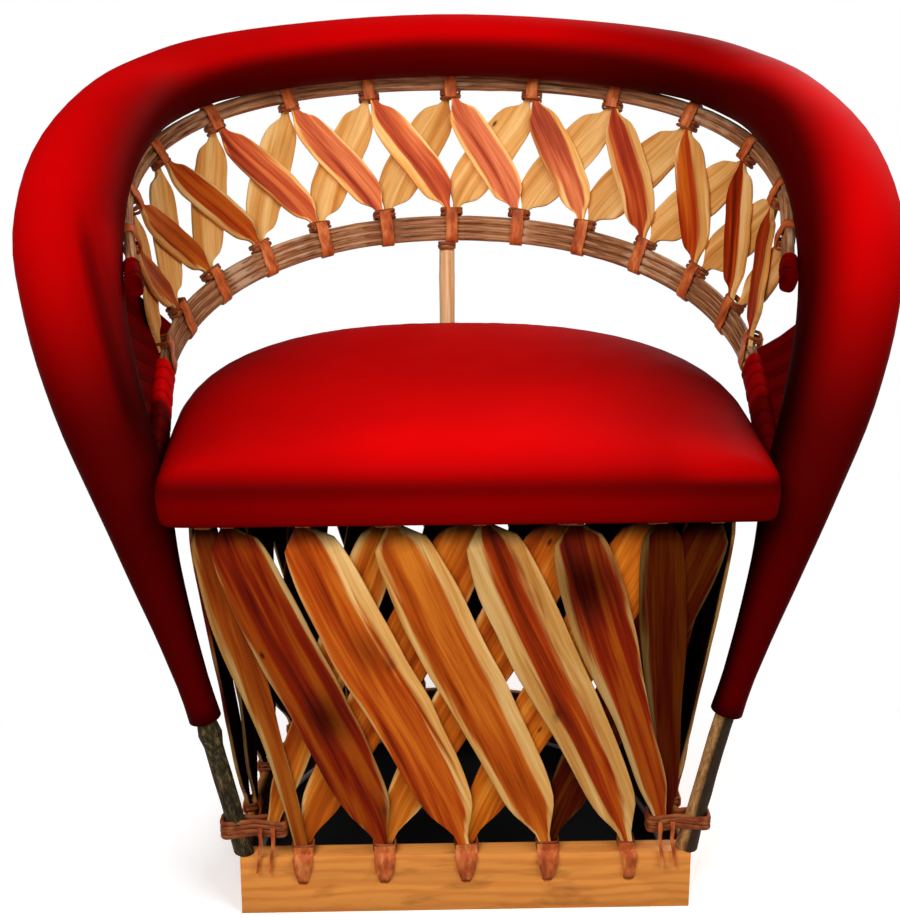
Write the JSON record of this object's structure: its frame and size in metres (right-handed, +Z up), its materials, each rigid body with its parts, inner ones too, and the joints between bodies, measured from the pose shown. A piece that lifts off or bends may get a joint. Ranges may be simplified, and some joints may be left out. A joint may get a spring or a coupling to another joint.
{
  "type": "armchair",
  "caption": "Low barrel chair of crossed wood splints tied between base, seat ring and bent hoops, with a padded seat and one padded roll for arms and back.",
  "frame": {"origin": "on the floor, under the middle of the chair's bounding box", "axes": "+Z up, the sitter faces -Y, +X across the chair towards the sitter's left"},
  "size_m": [0.7836, 0.572, 0.736],
  "materials": {
    "bark_pole": "rough bark",
    "roll_cover": "smooth matte cover",
    "base_plank": "oiled",
    "bent_band": "oiled",
    "sapling": "bark with peeled streaks",
    "seat_board": "raw",
    "seat_cover": "smooth matte cover",
    "peeled_strut": "peeled",
    "base_splint": "varnished, heartwood with pale sapwood",
    "rawhide": "dried rawhide",
    "back_splint": "varnished, heartwood with pale sapwood"
  },
  "bodies": {
    "root": {"rim_pole": "bark_pole", "arm_roll": "roll_cover", "base_front_board": "base_plank", "base_back_band": "bent_band", "seat_ring": "sapling", "seat_board": "seat_board", "seat_cushion": "seat_cover", "upper_hoop_1": "sapling", "upper_hoop_2": "sapling", "lower_hoop_1": "sapling", "lower_hoop_2": "sapling", "lower_hoop_3": "sapling", "back_strut": "peeled_strut", "front_splint_outer_1": "base_splint", "front_splint_outer_2": "base_splint", "front_splint_outer_3": "base_splint", "front_splint_outer_4": "base_splint", "front_splint_outer_5": "base_splint", "front_splint_middle": "base_splint", "front_splint_inner_1": "base_splint", "front_splint_inner_2": "base_splint", "front_splint_inner_3": "base_splint", "front_splint_inner_4": "base_splint", "front_splint_inner_5": "base_splint", "corner_lashing_1": "rawhide", "corner_lashing_2": "rawhide", "rear_splint_pair_1": "base_splint", "rear_splint_pair_2": "base_splint", "rear_splint_pair_3": "base_splint", "rear_splint_pair_4": "base_splint", "rear_splint_pair_5": "base_splint", "rear_splint_pair_6": "base_splint", "rear_splint_pair_7": "base_splint", "rear_splint_pair_8": "base_splint", "rear_splint_pair_9": "base_splint", "rear_splint_pair_10": "base_splint", "back_splint_front_1": "back_splint", "back_splint_rear_1": "back_splint", "back_splint_front_2": "back_splint", "back_splint_rear_2": "back_splint", "back_splint_front_3": "back_splint", "back_splint_rear_3": "back_splint", "back_splint_front_4": "back_splint", "back_splint_rear_4": "back_splint", "back_splint_front_5": "back_splint", "back_splint_rear_5": "back_splint", "back_splint_front_6": "back_splint", "back_splint_rear_6": "back_splint", "back_splint_front_7": "back_splint", "back_splint_rear_7": "back_splint", "back_splint_front_8": "back_splint", "back_splint_rear_8": "back_splint", "back_splint_front_9": "back_splint", "back_splint_rear_9": "back_splint", "back_splint_front_10": "back_splint", "back_splint_rear_10": "back_splint", "back_splint_front_11": "back_splint", "back_splint_rear_11": "back_splint", "back_splint_front_12": "back_splint", "back_splint_rear_12": "back_splint"}
  },
  "joints": []
}
